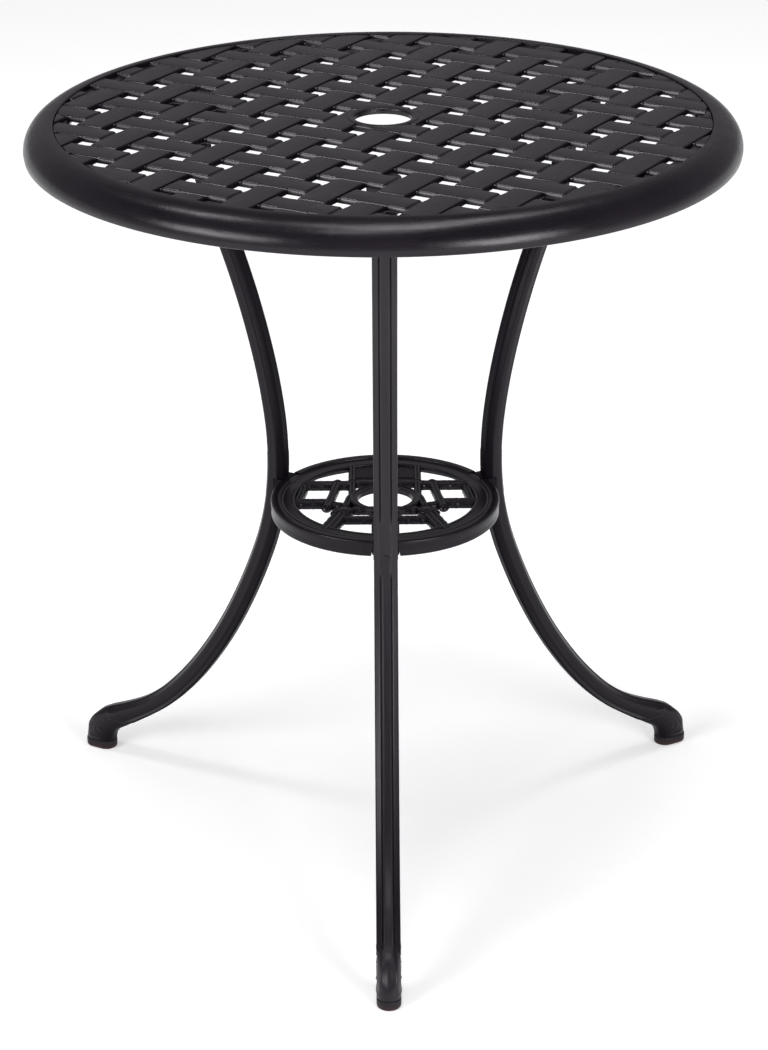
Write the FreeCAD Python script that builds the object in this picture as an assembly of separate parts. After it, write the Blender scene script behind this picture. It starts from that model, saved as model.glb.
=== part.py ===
"""Round cast-aluminium umbrella table: pierced weave top, three cabriole legs and a brace ring.

Units are millimetres. The origin is the centre of the umbrella hole, level with the top of the weave.
+Z is up, -Y is the side of the front leg, and heights called "up" are measured from the floor.
"""
import FreeCAD
import Part
import math
import os

V = FreeCAD.Vector
UP = V(0, 0, 1)

# Overall size
TOP_HEIGHT = 665.0            # floor to the top of the weave
RIM_RADIUS = 300.0
LEG_AZIMUTHS = {"front": 270.0, "right": 30.0, "left": 150.0}

# Tabletop rim, heights from the top of the weave
RIM_INNER_RADIUS = 274.6
RIM_PROUD = 1.0               # the rim's inner lip stands above the weave
RIM_LAND = 1.6                # flat on the rim's highest part, inside its rolled edge
RIM_WIDEST_DROP = 20.0        # the rolled edge is widest this far down
RIM_DEPTH = 25.0
RIM_TUCK = 3.2                # the rolled edge curls in this far at its bottom
RIM_WALL = 4.6
LIP_BEVEL = 0.8
LEDGE_INNER_RADIUS = 262.0
LEDGE_THICKNESS = 4.0

# Basket weave
STRIP_PITCH = 44.55
STRIP_WIDTH = 25.0
STRIP_AZIMUTH = 60.2          # direction of the steeper set of strips
WEAVE_THICKNESS = 4.8
WEAVE_RADIUS = 274.0
WEAVE_BORDER = 10.0           # the lower half of the weave is solid this far in from its edge
BACKING_TOP = -2.4            # the lower half of the weave, one flat lattice
OVER_END_DROP = 1.4           # an over-strip dips this far where it dives under
OVER_SHOULDER = 18.0          # half length of the flat part of an over-strip
SMALLEST_SLIVER = 30.0        # volume under which a strip clipped by the edge is left off
BITE = 0.4                    # pieces of one casting overlap this far where they join

# Umbrella holes
POLE_HOLE_RADIUS = 24.25
COLLAR_RADIUS = 31.0

# Leg centre line, followed downward. A bend is (radius, heading after it) and a run is (None, length);
# a heading is the angle from plumb in degrees, outward positive. The waist is where it is plumb.
WAIST_RADIUS = 109.5
WAIST_UP = 338.0
UPPER_MOVES = [(150.0, -24.0), (None, 20.0), (700.0, -14.0), (500.0, -8.0), (300.0, 0.0)]
LOWER_MOVES = [(260.0, 20.0), (581.0, 28.0), (438.0, 37.0), (332.0, 45.0), (204.0, 60.0), (None, 16.0)]
LEG_WIDTH = 21.0
LEG_DEPTH = 18.0
RIB_WIDTH = 10.0
RIB_HEIGHT = 1.3
FLANK_HALF = 4.6              # half height of the leg's flat flank
FLANK_HOLLOW = 1.4

# Leg flange under the top
FLANGE_UP = 646.0
FLANGE_THICKNESS = 7.0
FLANGE_LENGTH = 66.0
FLANGE_WIDTH = 26.0
TOP_BOLT_SPACING = 44.0

# Foot and glide, side view as (radius, height above the floor)
GLIDE_HEIGHT = 9.0
GLIDE_EDGE = 2.8
FOOT_WIDTH = 20.8
FOOT_ROOT_RADIUS = 258.0      # the foot starts here, narrower than the stem that it grows out of
FOOT_ROOT_WIDTH = 17.2
FOOT_FULL_RADIUS = 284.0
FOOT_TOP = 80.0
TOE_ARC = 38.0                # radius of the toe in side view
CREST_ANGLE = 67.0            # the toe's arc ends here and the straight crest begins
CREST_LENGTH = 46.0
FOOT_HEEL_RADIUS = 300.0
FOOT_TOE_RADIUS = 330.0
TOE_OVERHANG = 1.6            # the glide stands out past the toe
ARCH_MIDDLE = (298.2, 17.0)   # the hollow under the foot, behind the glide
ARCH_END = (290.0, 24.5)
UNDERSIDE_ROOT = (262.0, 41.5)
SCROLL_SWELL = 1.3            # the two raised scrolls over the toe
SCROLL_GAP = 5.2
SCROLL_WIDTH = 3.8
SCROLL_START = (276.0, 16.0)
PEG_RADIUS = 4.0
PEG_LENGTH = 10.0

# Brace ring, heights from the ring's top
RING_UP = 321.6
RING_RADIUS = 100.2
RING_INNER_RADIUS = 79.0
RING_SKIRT = 14.3
RING_WALL = 4.6
RING_BAND = 5.0
RING_BEAD = 7.0               # the raised bead round the band's edge
BEAD_HEIGHT = 1.0
RING_EDGE = 1.8               # bevel round the ring's outer edge
HUB_THICKNESS = 7.0
NOTCH_WIDTH = 21.6
NOTCH_FLARE_WIDTH = 25.5
NOTCH_FLARE_HEIGHT = 8.0
NOTCH_DEPTH = 4.0
RING_PAD_DEPTH = 8.0
RING_BOLT_DROP = 8.0

# Fretwork of the brace ring: each bar is (start, end, width, drop below the ring's top, knob places)
# in plan, where a knob place is a share of the bar's length; BAR_REACH is inside the band
BAR_REACH = 82.0
BAR_THICKNESS = 4.6
KNOB_PROUD = 0.8              # a knob stands out this far, at the sides and above
MIDDLE_BARS = [
    ((-30, 39), (30, 39), 8, 0.8, []),
    ((-37, -22), (37, -22), 8, 0.8, []),
    ((-38, -43), (38, -43), 8, 0.8, []),
    ((0, -24), (0, -BAR_REACH), 24, 2.4, []),
    ((0, 52), (0, BAR_REACH), 60, 2.4, []),
]
SIDE_BARS = [
    ((29, 2), (29, BAR_REACH - 8), 7, 0.8, [0.55]),
    ((30, 8), (37, -24), 8, 0.8, []),
    ((36, -26), (51, -67), 15, 0.8, [0.0]),
    ((36, -28), (44.5, -31), 5, 0.8, [1.0]),
    ((28, 35.5), (BAR_REACH - 10, 35.5), 11, 0.8, []),
    ((36, -14), (52, -9), 9, 0.8, []),
    ((44, -6), (BAR_REACH - 3, -6), 12, 0.8, []),
    ((42, 38), (51, -18), 8, 0.5, [0.0, 1.0]),
    ((71.5, 30), (76.8, -4), 8, 1.4, []),
]

# Fasteners, all M6
BOLT_RADIUS = 3.0
CLEARANCE_RADIUS = 3.3
HEX_ACROSS_FLATS = 10.0
HEX_HEIGHT = 4.0
NUT_HEIGHT = 5.0
WASHER_RADIUS = 6.0
WASHER_THICKNESS = 1.6
BUTTON_RADIUS = 5.25
BUTTON_HEIGHT = 3.0
BUTTON_RIM = 0.7
BUTTON_CROWN = 3.0            # radius of the flat on a button head
SOCKET_SCALE = 0.4            # the socket is this much of a hexagon head
SOCKET_DEPTH = 1.6
SPOT_DEPTH = 1.6              # spot face under a button head, cut from the leg's rib
SPOT_RADIUS = 5.85
BOLT_TAIL = 1.5               # a ring bolt ends this far past its nut
TOP_BOLT_GRIP = 8.0           # thread engaged in the top's boss


def floor_z(up):
    """Height in the part's frame of a point this far above the floor."""
    return up - TOP_HEIGHT


def around(shape, azimuth):
    """A copy of a shape drawn along +X, turned about the pole axis."""
    turned = shape.copy()
    turned.rotate(V(0, 0, 0), UP, azimuth)
    return turned


def fused(shapes):
    """One clean solid from several that overlap."""
    return shapes[0].multiFuse(shapes[1:]).removeSplitter()


def polygon_face(points):
    return Part.Face(Part.makePolygon(points + [points[0]]))


def tube(outer, inner, bottom, height):
    """A ring about the pole axis."""
    base = V(0, 0, bottom)
    return Part.makeCylinder(outer, height, base).cut(Part.makeCylinder(inner, height, base))


def block(x0, x1, half_width, z0, z1):
    """A box along +X, centred on the X axis."""
    return Part.makeBox(x1 - x0, 2 * half_width, z1 - z0, V(x0, -half_width, z0))


def stadium(x0, x1, width, z0, z1):
    """A block whose two ends are round in plan."""
    r = width / 2
    shape = block(x0 + r, x1 - r, r, z0, z1)
    ends = [Part.makeCylinder(r, z1 - z0, V(x, 0, z0)) for x in (x0 + r, x1 - r)]
    return fused([shape] + ends)


def hexagon(centre, axis, height):
    """A hexagonal prism across flats HEX_ACROSS_FLATS."""
    corner = HEX_ACROSS_FLATS / math.sqrt(3)
    turns = [math.radians(60 * i) for i in range(6)]
    face = polygon_face([V(corner * math.cos(a), corner * math.sin(a), 0) for a in turns])
    prism = face.extrude(V(0, 0, height))
    prism.Placement = FreeCAD.Placement(centre, FreeCAD.Rotation(UP, axis))
    return prism


def make_rim():
    """The rolled edge: a bull-nosed shell, open underneath, with a ledge that carries the weave."""
    nose_centre = V(RIM_INNER_RADIUS + RIM_LAND, 0, -RIM_WIDEST_DROP)
    nose_width = RIM_RADIUS - nose_centre.x
    nose_height = RIM_WIDEST_DROP + RIM_PROUD

    def on_nose(angle, inset):
        a = math.radians(angle)
        return nose_centre + V((nose_width - inset) * math.cos(a), 0, (nose_height - inset) * math.sin(a))

    ledge_top = -WEAVE_THICKNESS
    ledge_bottom = ledge_top - LEDGE_THICKNESS
    nose = Part.Arc(on_nose(0, 0), on_nose(45, 0), on_nose(90, 0)).toShape()
    around_inside = [
        on_nose(0, 0),
        V(RIM_RADIUS - RIM_TUCK, 0, -RIM_DEPTH),
        V(RIM_RADIUS - RIM_TUCK - RIM_WALL / 2, 0, -RIM_DEPTH),
        on_nose(0, RIM_WALL),
        on_nose(45, RIM_WALL),
        on_nose(90, RIM_WALL),
        V(nose_centre.x, 0, ledge_bottom),
        V(LEDGE_INNER_RADIUS, 0, ledge_bottom),
        V(LEDGE_INNER_RADIUS, 0, ledge_top),
        V(RIM_INNER_RADIUS, 0, ledge_top),
        V(RIM_INNER_RADIUS, 0, RIM_PROUD - LIP_BEVEL),
        V(RIM_INNER_RADIUS + LIP_BEVEL, 0, RIM_PROUD),
        on_nose(90, 0),
    ]
    edges = [nose] + [Part.makeLine(a, b) for a, b in zip(around_inside, around_inside[1:])]
    profile = Part.Face(Part.Wire(Part.__sortEdges__(edges)))
    return profile.revolve(V(0, 0, 0), UP, 360)


def over_strip():
    """One over-strip of the weave, along +X: flat on top, dipping at its ends to enter what crosses it."""
    half = STRIP_PITCH - STRIP_WIDTH / 2 + BITE
    low = BACKING_TOP - BITE
    side = [
        V(-half, 0, low),
        V(half, 0, low),
        V(half, 0, -OVER_END_DROP),
        V(OVER_SHOULDER, 0, 0),
        V(-OVER_SHOULDER, 0, 0),
        V(-half, 0, -OVER_END_DROP),
    ]
    edge = V(0, -STRIP_WIDTH / 2, 0)
    return polygon_face([p + edge for p in side]).extrude(V(0, STRIP_WIDTH, 0))


def lattice():
    """Places of the weave's openings and crossings; a crossing says whether its steep strip is over."""
    steep = math.radians(STRIP_AZIMUTH)
    along = V(math.cos(steep), math.sin(steep), 0)
    across = V(math.sin(steep), -math.cos(steep), 0)
    reach = int(WEAVE_RADIUS / STRIP_PITCH) + 2
    openings = []
    crossings = []
    for i in range(-reach, reach + 1):
        for j in range(-reach, reach + 1):
            opening = (across * i + along * j) * STRIP_PITCH
            crossing = opening + (across + along) * (STRIP_PITCH / 2)
            if opening.Length < WEAVE_RADIUS:
                openings.append(opening)
            if crossing.Length < WEAVE_RADIUS + STRIP_PITCH:
                crossings.append((crossing, (i + j) % 2 == 0))
    return openings, crossings


def make_weave():
    """The pierced basket weave: a lattice of crossing strips, each passing over and under the next."""
    bottom = V(0, 0, -WEAVE_THICKNESS)
    backing_thickness = WEAVE_THICKNESS + BACKING_TOP
    openings, crossings = lattice()

    gap = STRIP_PITCH - STRIP_WIDTH
    hole = block(-gap / 2, gap / 2, gap / 2, bottom.z, 0)
    hole.rotate(V(0, 0, 0), UP, STRIP_AZIMUTH)
    holes = Part.makeCompound([hole.translated(opening) for opening in openings])
    backing = Part.makeCylinder(WEAVE_RADIUS, backing_thickness, bottom).cut(holes)
    border = tube(WEAVE_RADIUS, WEAVE_RADIUS - WEAVE_BORDER, bottom.z, backing_thickness)
    collar = Part.makeCylinder(COLLAR_RADIUS, WEAVE_THICKNESS, bottom)

    inside = Part.makeCylinder(WEAVE_RADIUS, 2 * WEAVE_THICKNESS, bottom)
    strip = over_strip()
    strips = []
    for crossing, steep_over in crossings:
        turned = strip.copy()
        turned.rotate(V(0, 0, 0), UP, STRIP_AZIMUTH if steep_over else STRIP_AZIMUTH - 90)
        turned.translate(crossing)
        if max(math.hypot(v.X, v.Y) for v in turned.Vertexes) > WEAVE_RADIUS:
            turned = turned.common(inside)
        if turned.Volume > SMALLEST_SLIVER:
            strips.append(turned)

    bosses = [around(top_boss(), azimuth) for azimuth in LEG_AZIMUTHS.values()]
    panel = fused([backing, border, collar] + strips + bosses)
    pole = Part.makeCylinder(POLE_HOLE_RADIUS, 2 * WEAVE_THICKNESS, bottom)
    threads = [around(bore, azimuth) for azimuth in LEG_AZIMUTHS.values() for bore in top_bolt_holes()]
    return panel.cut(Part.makeCompound([pole] + threads))


def leg_top_radius():
    return leg_start().x


def direction(heading):
    h = math.radians(heading)
    return V(math.sin(h), 0, -math.cos(h))


def outward(heading):
    """Square to the leg's direction, on its outer side."""
    h = math.radians(heading)
    return V(math.cos(h), 0, math.sin(h))


def follow(point, heading, moves):
    """Each move of the centre line with where it starts: (point, heading, move), and then the end point."""
    stages = []
    for radius, value in moves:
        stages.append((point, heading, (radius, value)))
        if radius is None:
            point = point + direction(heading) * value
        else:
            side = radius if value > heading else -radius
            point = point + outward(heading) * side - outward(value) * side
            heading = value
    return stages, point


def leg_start():
    """The plumb top of the leg's neck, placed so that the waist comes where it should."""
    _, drop = follow(V(0, 0, 0), 0.0, UPPER_MOVES)
    return V(WAIST_RADIUS, 0, floor_z(WAIST_UP)) - drop


def sweep(face, stages):
    """A face carried along the moves, as one solid."""
    solids = []
    for point, heading, (radius, value) in stages:
        if radius is None:
            step = direction(heading) * value
            solids.append(face.extrude(step))
            face = face.translated(step)
            continue
        turn = value - heading
        side = radius if turn > 0 else -radius
        axis = V(0, -1, 0) if turn > 0 else V(0, 1, 0)
        centre = point + outward(heading) * side
        solids.append(face.revolve(centre, axis, abs(turn)))
        face = face.copy()
        face.rotate(centre, axis, abs(turn))
    return fused(solids)


def leg_section(centre):
    """The leg's level section at its top: ribs in and out, a shallow hollow down each flank."""
    d, w = LEG_DEPTH / 2, LEG_WIDTH / 2
    rib = RIB_WIDTH / 2
    outer = [(d, rib - 0.5), (d - RIB_HEIGHT, rib), (FLANK_HALF, w), (0, w - FLANK_HOLLOW)]
    quarter = [V(x, y, 0) for x, y in outer]
    left = quarter + [V(-p.x, p.y, 0) for p in reversed(quarter[:-1])]
    right = [V(p.x, -p.y, 0) for p in reversed(left)]
    return polygon_face([p + centre for p in left + right])


def foot_outline(grow):
    """Side view of the scroll foot above its glide; grow swells its crest for the raised scrolls."""
    radius = TOE_ARC + grow
    centre = V(FOOT_TOE_RADIUS - TOE_OVERHANG - TOE_ARC, 0, floor_z(GLIDE_HEIGHT))

    def on_toe(angle):
        a = math.radians(angle)
        return centre + V(radius * math.cos(a), 0, radius * math.sin(a))

    toe, shoulder = on_toe(0), on_toe(CREST_ANGLE)
    slope = math.radians(90 - CREST_ANGLE)
    root = shoulder + V(-math.cos(slope), 0, math.sin(slope)) * CREST_LENGTH
    heel = V(FOOT_HEEL_RADIUS, 0, toe.z)
    middle, end, under = [V(r, 0, floor_z(up)) for r, up in (ARCH_MIDDLE, ARCH_END, UNDERSIDE_ROOT)]
    edges = [Part.makeLine(root, shoulder), Part.Arc(shoulder, on_toe(CREST_ANGLE / 2), toe).toShape()]
    edges += [Part.makeLine(toe, heel), Part.Arc(heel, middle, end).toShape()]
    edges += [Part.makeLine(end, under), Part.makeLine(under, root)]
    return Part.Face(Part.Wire(edges))


def slab(face, low, high):
    """A side view made solid between two widths across the leg."""
    moved = face.translated(V(0, low, 0))
    return moved.extrude(V(0, high - low, 0))


def foot_plan():
    """The foot seen from above: a taper out of the stem, straight sides and a round toe."""
    root, full = FOOT_ROOT_WIDTH / 2, FOOT_WIDTH / 2
    toe = FOOT_TOE_RADIUS - TOE_OVERHANG
    low, high = floor_z(0), floor_z(FOOT_TOP)
    taper = polygon_face([
        V(FOOT_ROOT_RADIUS, -root, low),
        V(FOOT_FULL_RADIUS, -full, low),
        V(FOOT_FULL_RADIUS, full, low),
        V(FOOT_ROOT_RADIUS, root, low),
    ]).extrude(V(0, 0, high - low))
    straight = block(FOOT_FULL_RADIUS, toe - full, full, low, high)
    return fused([taper, straight, Part.makeCylinder(full, high - low, V(toe - full, 0, low))])


def make_foot():
    """The scroll foot: a rounded toe with two raised scrolls, drilled for the glide's peg."""
    body = slab(foot_outline(0), -FOOT_WIDTH / 2, FOOT_WIDTH / 2).common(foot_plan())
    start, up = SCROLL_START
    zone = block(start, FOOT_TOE_RADIUS, FOOT_WIDTH / 2, floor_z(up), floor_z(FOOT_TOP))
    near, far = SCROLL_GAP / 2, SCROLL_GAP / 2 + SCROLL_WIDTH
    swollen = foot_outline(SCROLL_SWELL)
    scrolls = [slab(swollen, low, high).common(zone) for low, high in ((near, far), (-far, -near))]
    peg_hole = Part.makeCylinder(PEG_RADIUS, PEG_LENGTH + 1, V(peg_centre(), 0, floor_z(GLIDE_HEIGHT)))
    return fused([body] + scrolls).cut(peg_hole)


def peg_centre():
    return (FOOT_HEEL_RADIUS + FOOT_TOE_RADIUS) / 2 - 0.5


def make_leg():
    """One leg casting along +X: flange, swept stem, seat for the ring and scroll foot."""
    start = leg_start()
    stages, _ = follow(start, 0.0, UPPER_MOVES + LOWER_MOVES)
    flange_low, flange_high = floor_z(FLANGE_UP), floor_z(FLANGE_UP + FLANGE_THICKNESS)
    neck = leg_section(start).extrude(V(0, 0, (flange_low + flange_high) / 2 - start.z))
    stem = sweep(leg_section(start), stages)
    flange_x = start.x - FLANGE_LENGTH / 2
    flange = stadium(flange_x, flange_x + FLANGE_LENGTH, FLANGE_WIDTH, flange_low, flange_high)
    seat_low, seat_high = floor_z(RING_UP - RING_SKIRT + 1), floor_z(RING_UP - 1)
    seat = block(RING_RADIUS - NOTCH_DEPTH, WAIST_RADIUS, NOTCH_WIDTH / 2 - 0.2, seat_low, seat_high)
    leg = fused([neck, stem, flange, seat, make_foot()])

    below = V(0, 0, flange_low - FLANGE_THICKNESS)
    through = 2 * FLANGE_THICKNESS
    cuts = [Part.makeCylinder(CLEARANCE_RADIUS, through, below + V(x, 0, 0)) for x in top_bolt_radii()]
    bore_start = V(WAIST_RADIUS - LEG_DEPTH, 0, floor_z(RING_UP - RING_BOLT_DROP))
    spot_start = V(ring_bolt_head_x(), 0, bore_start.z)
    cuts.append(Part.makeCylinder(CLEARANCE_RADIUS, 2 * LEG_DEPTH, bore_start, V(1, 0, 0)))
    cuts.append(Part.makeCylinder(SPOT_RADIUS, LEG_DEPTH, spot_start, V(1, 0, 0)))
    for cut in cuts:
        leg = leg.cut(cut)
    return leg


def ring_bolt_head_x():
    """Radius of the spot face under the ring bolt's head."""
    return WAIST_RADIUS + LEG_DEPTH / 2 - SPOT_DEPTH


def top_bolt_radii():
    centre = leg_top_radius()
    return [centre - TOP_BOLT_SPACING / 2, centre + TOP_BOLT_SPACING / 2]


def top_boss():
    """The pad cast under the weave that a leg's flange bolts up to."""
    x0 = leg_top_radius() - FLANGE_LENGTH / 2 - 1
    low = floor_z(FLANGE_UP + FLANGE_THICKNESS)
    return stadium(x0, x0 + FLANGE_LENGTH + 2, FLANGE_WIDTH + 2, low, BACKING_TOP - BITE)


def top_bolt_holes():
    low = floor_z(FLANGE_UP + FLANGE_THICKNESS)
    return [Part.makeCylinder(BOLT_RADIUS, TOP_BOLT_GRIP + 1, V(x, 0, low)) for x in top_bolt_radii()]


def make_top_bolts():
    """Two hexagon-head bolts up through the flange into the boss."""
    head_top = floor_z(FLANGE_UP) - WASHER_THICKNESS
    length = WASHER_THICKNESS + FLANGE_THICKNESS + TOP_BOLT_GRIP
    bolts = []
    for x in top_bolt_radii():
        shank = Part.makeCylinder(BOLT_RADIUS, length, V(x, 0, head_top))
        bolts.append(fused([hexagon(V(x, 0, head_top - HEX_HEIGHT), UP, HEX_HEIGHT), shank]))
    return Part.makeCompound(bolts)


def washer(centre, axis):
    disc = Part.makeCylinder(WASHER_RADIUS, WASHER_THICKNESS, centre, axis)
    return disc.cut(Part.makeCylinder(CLEARANCE_RADIUS, WASHER_THICKNESS, centre, axis))


def make_top_washers():
    z = floor_z(FLANGE_UP) - WASHER_THICKNESS
    return Part.makeCompound([washer(V(x, 0, z), UP) for x in top_bolt_radii()])


def make_glide():
    """The plastic foot cap, with a peg pressed up into the casting."""
    heel = FOOT_HEEL_RADIUS - TOE_OVERHANG / 2
    cap = stadium(heel, FOOT_TOE_RADIUS, FOOT_WIDTH, floor_z(0), floor_z(GLIDE_HEIGHT))
    cap = cap.makeChamfer(GLIDE_EDGE, [e for e in cap.Edges if e.BoundBox.ZMax < floor_z(GLIDE_EDGE)])
    peg = Part.makeCylinder(PEG_RADIUS, PEG_LENGTH, V(peg_centre(), 0, floor_z(GLIDE_HEIGHT)))
    return fused([cap, peg])


def ring_profile():
    """Section of the brace ring: a flat band in a raised bead, and a skirt hanging from its outer edge."""
    z = floor_z(RING_UP)
    r = RING_RADIUS
    points = [
        (RING_INNER_RADIUS, -RING_BAND),
        (RING_INNER_RADIUS, -BEAD_HEIGHT),
        (r - RING_BEAD, -BEAD_HEIGHT),
        (r - RING_BEAD + BEAD_HEIGHT, 0),
        (r - RING_EDGE, 0),
        (r, -RING_EDGE),
        (r, -RING_SKIRT),
        (r - RING_WALL, -RING_SKIRT),
        (r - RING_WALL, -RING_BAND),
    ]
    return polygon_face([V(x, 0, z + drop) for x, drop in points])


def bar(start, end, width, drop, knobs):
    """A flat fretwork bar between two plan points, with round knobs where asked."""
    high = floor_z(RING_UP) - drop
    low = high - BAR_THICKNESS
    along = V(end[0] - start[0], end[1] - start[1], 0)
    pieces = [block(0, along.Length, width / 2, low, high)]
    for share in knobs:
        at = V(share * along.Length, 0, low)
        pieces.append(Part.makeCylinder(width / 2 + KNOB_PROUD, BAR_THICKNESS + KNOB_PROUD, at))
    solid = fused(pieces)
    solid.rotate(V(0, 0, 0), UP, math.degrees(math.atan2(along.y, along.x)))
    solid.translate(V(start[0], start[1], 0))
    return solid


def fretwork():
    """Bamboo-like bars that tie the hub of the brace ring to its band."""
    bars = [bar(*row) for row in MIDDLE_BARS]
    for start, end, width, drop, knobs in SIDE_BARS:
        for side in (-1, 1):
            bars.append(bar((side * start[0], start[1]), (side * end[0], end[1]), width, drop, knobs))
    return bars


def notch_flare(skirt_low, seat):
    """The notch for a leg widens towards the bottom of the skirt."""
    foot, throat = NOTCH_FLARE_WIDTH / 2, NOTCH_WIDTH / 2
    below, above = skirt_low - 1, skirt_low + NOTCH_FLARE_HEIGHT
    corners = [V(seat, -foot, below), V(seat, foot, below), V(seat, throat, above), V(seat, -throat, above)]
    return polygon_face(corners).extrude(V(2 * NOTCH_DEPTH, 0, 0))


def make_ring():
    """The brace ring: band and skirt, hub with the lower pole hole, fretwork, and three bolted leg seats."""
    top = floor_z(RING_UP)
    skirt_low = top - RING_SKIRT
    seat = RING_RADIUS - NOTCH_DEPTH
    pads = []
    cuts = []
    for azimuth in LEG_AZIMUTHS.values():
        pad = block(nut_face_x(), RING_RADIUS - 1, NOTCH_WIDTH / 2 + 1, skirt_low, top - BEAD_HEIGHT)
        pads.append(around(pad, azimuth))
        notch = block(seat, RING_RADIUS + NOTCH_DEPTH, NOTCH_WIDTH / 2, skirt_low - 1, top + 1)
        bolt_start = V(nut_face_x() - 1, 0, top - RING_BOLT_DROP)
        bolt_hole = Part.makeCylinder(CLEARANCE_RADIUS, RING_PAD_DEPTH + 2, bolt_start, V(1, 0, 0))
        cuts += [around(cut, azimuth) for cut in (notch, notch_flare(skirt_low, seat), bolt_hole)]
    cuts.append(Part.makeCylinder(POLE_HOLE_RADIUS, 2 * HUB_THICKNESS, V(0, 0, top - 1.5 * HUB_THICKNESS)))

    hub = Part.makeCylinder(COLLAR_RADIUS, HUB_THICKNESS, V(0, 0, top - HUB_THICKNESS))
    ring = fused([ring_profile().revolve(V(0, 0, 0), UP, 360), hub] + fretwork() + pads)
    for cut in cuts:
        ring = ring.cut(cut)
    return ring


def nut_face_x():
    """Radius of the pad's inner face, where the washer and nut sit."""
    return RING_RADIUS - NOTCH_DEPTH - RING_PAD_DEPTH


def make_ring_bolt():
    """A button-head bolt through the leg and the ring's pad, along the radius."""
    outside = V(1, 0, 0)
    head = V(ring_bolt_head_x(), 0, floor_z(RING_UP - RING_BOLT_DROP))
    length = head.x - nut_face_x() + WASHER_THICKNESS + NUT_HEIGHT + BOLT_TAIL
    shank = Part.makeCylinder(BOLT_RADIUS, length, head - outside * length, outside)
    disc = Part.makeCylinder(BUTTON_RADIUS, BUTTON_RIM, head, outside)
    dome_height = BUTTON_HEIGHT - BUTTON_RIM
    dome = Part.makeCone(BUTTON_RADIUS, BUTTON_CROWN, dome_height, head + outside * BUTTON_RIM, outside)
    crown = head + outside * BUTTON_HEIGHT
    depth = SOCKET_DEPTH / SOCKET_SCALE
    socket = hexagon(crown - outside * depth, outside, 2 * depth)
    socket.scale(SOCKET_SCALE, crown)
    return fused([shank, disc, dome]).cut(socket)


def make_ring_washer():
    return washer(V(nut_face_x() - WASHER_THICKNESS, 0, floor_z(RING_UP - RING_BOLT_DROP)), V(1, 0, 0))


def make_ring_nut():
    x = nut_face_x() - WASHER_THICKNESS - NUT_HEIGHT
    z = floor_z(RING_UP - RING_BOLT_DROP)
    nut = hexagon(V(x, 0, z), V(1, 0, 0), NUT_HEIGHT)
    return nut.cut(Part.makeCylinder(BOLT_RADIUS, NUT_HEIGHT, V(x, 0, z), V(1, 0, 0)))


def save(name, shape):
    shape.exportStep("parts/" + name + ".step")
    print(name, "solids", len(shape.Solids), "valid", shape.isValid(), "volume", round(shape.Volume))


def main():
    os.makedirs("parts", exist_ok=True)
    save("tabletop_rim", make_rim())
    save("tabletop_weave", make_weave())
    save("brace_ring", make_ring())
    per_leg = {
        "leg": make_leg(),
        "glide": make_glide(),
        "top_bolts": make_top_bolts(),
        "top_washers": make_top_washers(),
        "ring_bolt": make_ring_bolt(),
        "ring_washer": make_ring_washer(),
        "ring_nut": make_ring_nut(),
    }
    for place, azimuth in LEG_AZIMUTHS.items():
        for name, shape in per_leg.items():
            save(name + "_" + place, around(shape, azimuth))


main()
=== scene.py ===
"""Looks of the round cast-aluminium umbrella table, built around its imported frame.

Sizes are millimetres unless a name says otherwise, and a mesh is scaled to metres when it is made.
Heights called "up" are measured from the floor. The front leg is on the -Y side.
"""

import bmesh
import bpy
import math
from mathutils import Matrix, Vector


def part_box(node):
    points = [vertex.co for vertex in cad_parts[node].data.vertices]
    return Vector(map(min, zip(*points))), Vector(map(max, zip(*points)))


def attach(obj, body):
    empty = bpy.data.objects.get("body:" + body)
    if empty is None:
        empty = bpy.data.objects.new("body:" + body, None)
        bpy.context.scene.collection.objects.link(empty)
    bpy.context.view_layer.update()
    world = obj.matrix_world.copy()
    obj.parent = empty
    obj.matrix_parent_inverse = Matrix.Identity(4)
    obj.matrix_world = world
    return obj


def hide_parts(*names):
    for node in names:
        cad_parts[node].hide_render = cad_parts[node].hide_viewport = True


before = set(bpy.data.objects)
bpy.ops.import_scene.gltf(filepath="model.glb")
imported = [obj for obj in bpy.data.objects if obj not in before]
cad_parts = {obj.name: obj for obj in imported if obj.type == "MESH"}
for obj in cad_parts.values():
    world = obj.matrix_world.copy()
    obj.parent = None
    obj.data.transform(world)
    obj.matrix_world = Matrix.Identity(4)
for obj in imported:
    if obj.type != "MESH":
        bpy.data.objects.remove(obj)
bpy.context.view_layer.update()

MM = 0.001
UP = Vector((0, 0, 1))
LEG_AZIMUTHS = {"front": 270.0, "right": 30.0, "left": 150.0}
FLOOR_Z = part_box("glide_front")[0].z / MM

# Meshes
NO_ANGLE = 1e-4               # arcs through less than this are drawn as straight lines
NEARLY_STRAIGHT = math.radians(89.9)  # half of the angle at a corner that stays unrounded
SHARP_ANGLE = math.radians(40.0)      # faces that meet at more than this have a sharp edge
WELD = 0.02                   # points of the weave closer than this become one

# Powder coat and the other finishes
COAT_DARK = (0.0042, 0.0032, 0.0050)
COAT_LIGHT = (0.0074, 0.0056, 0.0088)
COAT_GLOSS = (1.0, 0.95, 1.0) # tint of what the coat mirrors
DRAG_STRETCH = (0.10, 1.0, 1.0)       # draws the drag lines out along the grain
SHEEN = 0.24                  # how strongly the powder coat mirrors, 0.5 being bare gloss
# Painted shade and highlight: the sheen changes with the way a face is turned, dimmer where shade
# falls and brighter where light catches; what it goes by, from, to, sheen before and after
# painted shade: the weave's walls that face +X lose their sheen, as if unlit
WEAVE_PAINTED_SHEEN = ("facing right", 0.5, 0.8, 0.34, 0.034)
# painted shade and highlight: a leg's inner side is dulled and its outer face made to shine
LEG_PAINTED_SHEEN = ("outward", -0.007, 0.007, 0.06, 0.31)
# painted highlight and shade: the ring's upward faces shine and its upright sides are dulled
RING_PAINTED_SHEEN = ("facing up", 0.3, 0.8, 0.17, 0.36)
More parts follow.
